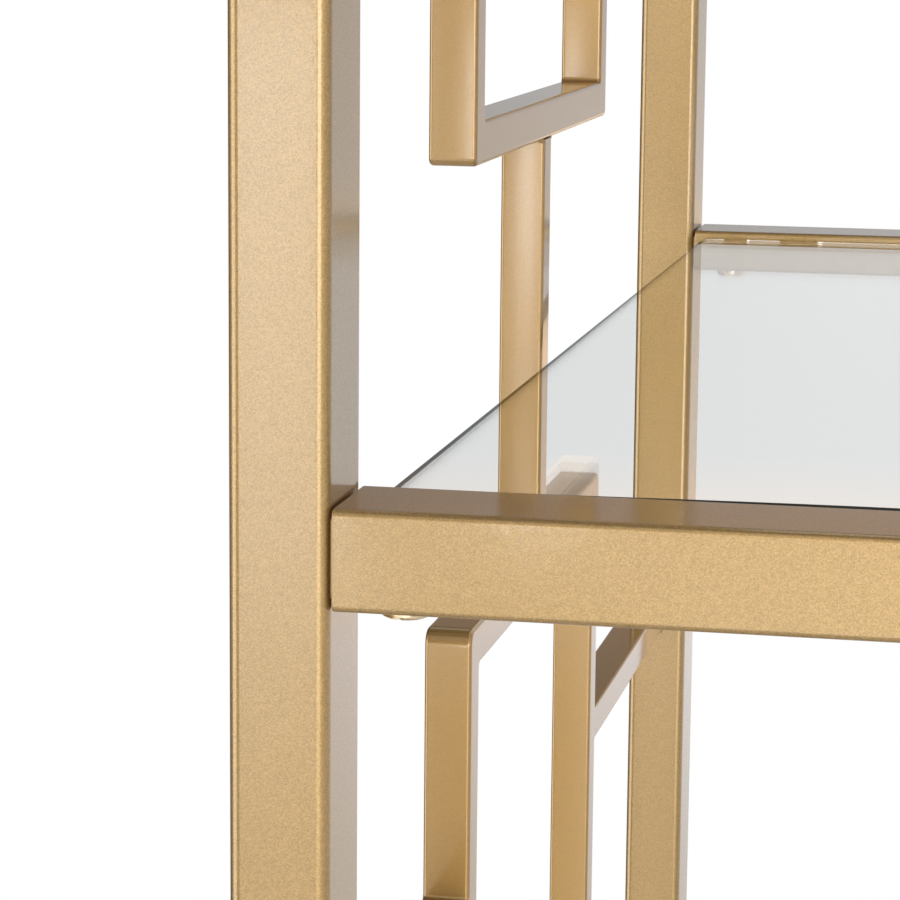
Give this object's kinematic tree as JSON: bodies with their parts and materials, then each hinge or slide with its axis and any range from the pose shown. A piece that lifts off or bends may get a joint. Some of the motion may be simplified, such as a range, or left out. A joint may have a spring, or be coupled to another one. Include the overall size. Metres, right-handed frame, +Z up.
{
  "type": "etagere",
  "caption": "Open metal shelving unit with clear glass shelves between slim tube posts and rectangular fretwork on both sides.",
  "frame": {"origin": "on the floor, under the middle of the frame", "axes": "+Z up, +X to the right seen from the front, the front faces -Y"},
  "size_m": [0.763, 0.423, 1.56],
  "materials": {
    "gold_frame": "satin gold metallic powder coat with a fine sparkle",
    "gold_rail": "satin gold metallic powder coat with a fine sparkle",
    "gold_fretwork": "satin gold metallic powder coat with a fine sparkle",
    "screw_metal": "bright plated steel, gold tone",
    "shelf_glass": "clear tempered glass with polished edges",
    "foot_plastic": "matte black moulded plastic"
  },
  "bodies": {
    "frame": {"post_front_left": "gold_frame", "post_rear_left": "gold_frame", "post_front_right": "gold_frame", "post_rear_right": "gold_frame", "foot_front_left": "foot_plastic", "foot_rear_left": "foot_plastic", "foot_front_right": "foot_plastic", "foot_rear_right": "foot_plastic", "end_rail_bottom_left": "gold_frame", "end_rail_top_left": "gold_frame", "end_rail_bottom_right": "gold_frame", "end_rail_top_right": "gold_frame", "shelf_rail_front_1": "gold_rail", "shelf_rail_rear_1": "gold_rail", "shelf_rail_front_2": "gold_rail", "shelf_rail_rear_2": "gold_rail", "shelf_rail_front_3": "gold_rail", "shelf_rail_rear_3": "gold_rail", "shelf_rail_front_4": "gold_rail", "shelf_rail_rear_4": "gold_rail", "rail_screw_front_left_1": "screw_metal", "rail_screw_front_right_1": "screw_metal", "rail_screw_rear_left_1": "screw_metal", "rail_screw_rear_right_1": "screw_metal", "rail_screw_front_left_2": "screw_metal", "rail_screw_front_right_2": "screw_metal", "rail_screw_rear_left_2": "screw_metal", "rail_screw_rear_right_2": "screw_metal", "rail_screw_front_left_3": "screw_metal", "rail_screw_front_right_3": "screw_metal", "rail_screw_rear_left_3": "screw_metal", "rail_screw_rear_right_3": "screw_metal", "rail_screw_front_left_4": "screw_metal", "rail_screw_front_right_4": "screw_metal", "rail_screw_rear_left_4": "screw_metal", "rail_screw_rear_right_4": "screw_metal", "fret_loop_left_1": "gold_fretwork", "fret_loop_left_2": "gold_fretwork", "fret_loop_left_3": "gold_fretwork", "fret_loop_right_1": "gold_fretwork", "fret_loop_right_2": "gold_fretwork", "fret_loop_right_3": "gold_fretwork", "fret_link_left_1": "gold_fretwork", "fret_link_left_2": "gold_fretwork", "fret_link_left_3": "gold_fretwork", "fret_link_left_4": "gold_fretwork", "fret_link_right_1": "gold_fretwork", "fret_link_right_2": "gold_fretwork", "fret_link_right_3": "gold_fretwork", "fret_link_right_4": "gold_fretwork"},
    "pane_1": {"glass_shelf_1": "shelf_glass"},
    "pane_2": {"glass_shelf_2": "shelf_glass"},
    "pane_3": {"glass_shelf_3": "shelf_glass"},
    "pane_4": {"glass_shelf_4": "shelf_glass"}
  },
  "joints": [
    {"name": "pane_1_lift", "type": "slide", "parent": "frame", "child": "pane_1", "axis": [0, 0, 1], "range_m": [0, 0.04]},
    {"name": "pane_2_lift", "type": "slide", "parent": "frame", "child": "pane_2", "axis": [0, 0, 1], "range_m": [0, 0.04]},
    {"name": "pane_3_lift", "type": "slide", "parent": "frame", "child": "pane_3", "axis": [0, 0, 1], "range_m": [0, 0.04]},
    {"name": "pane_4_lift", "type": "slide", "parent": "frame", "child": "pane_4", "axis": [0, 0, 1], "range_m": [0, 0.04]}
  ]
}
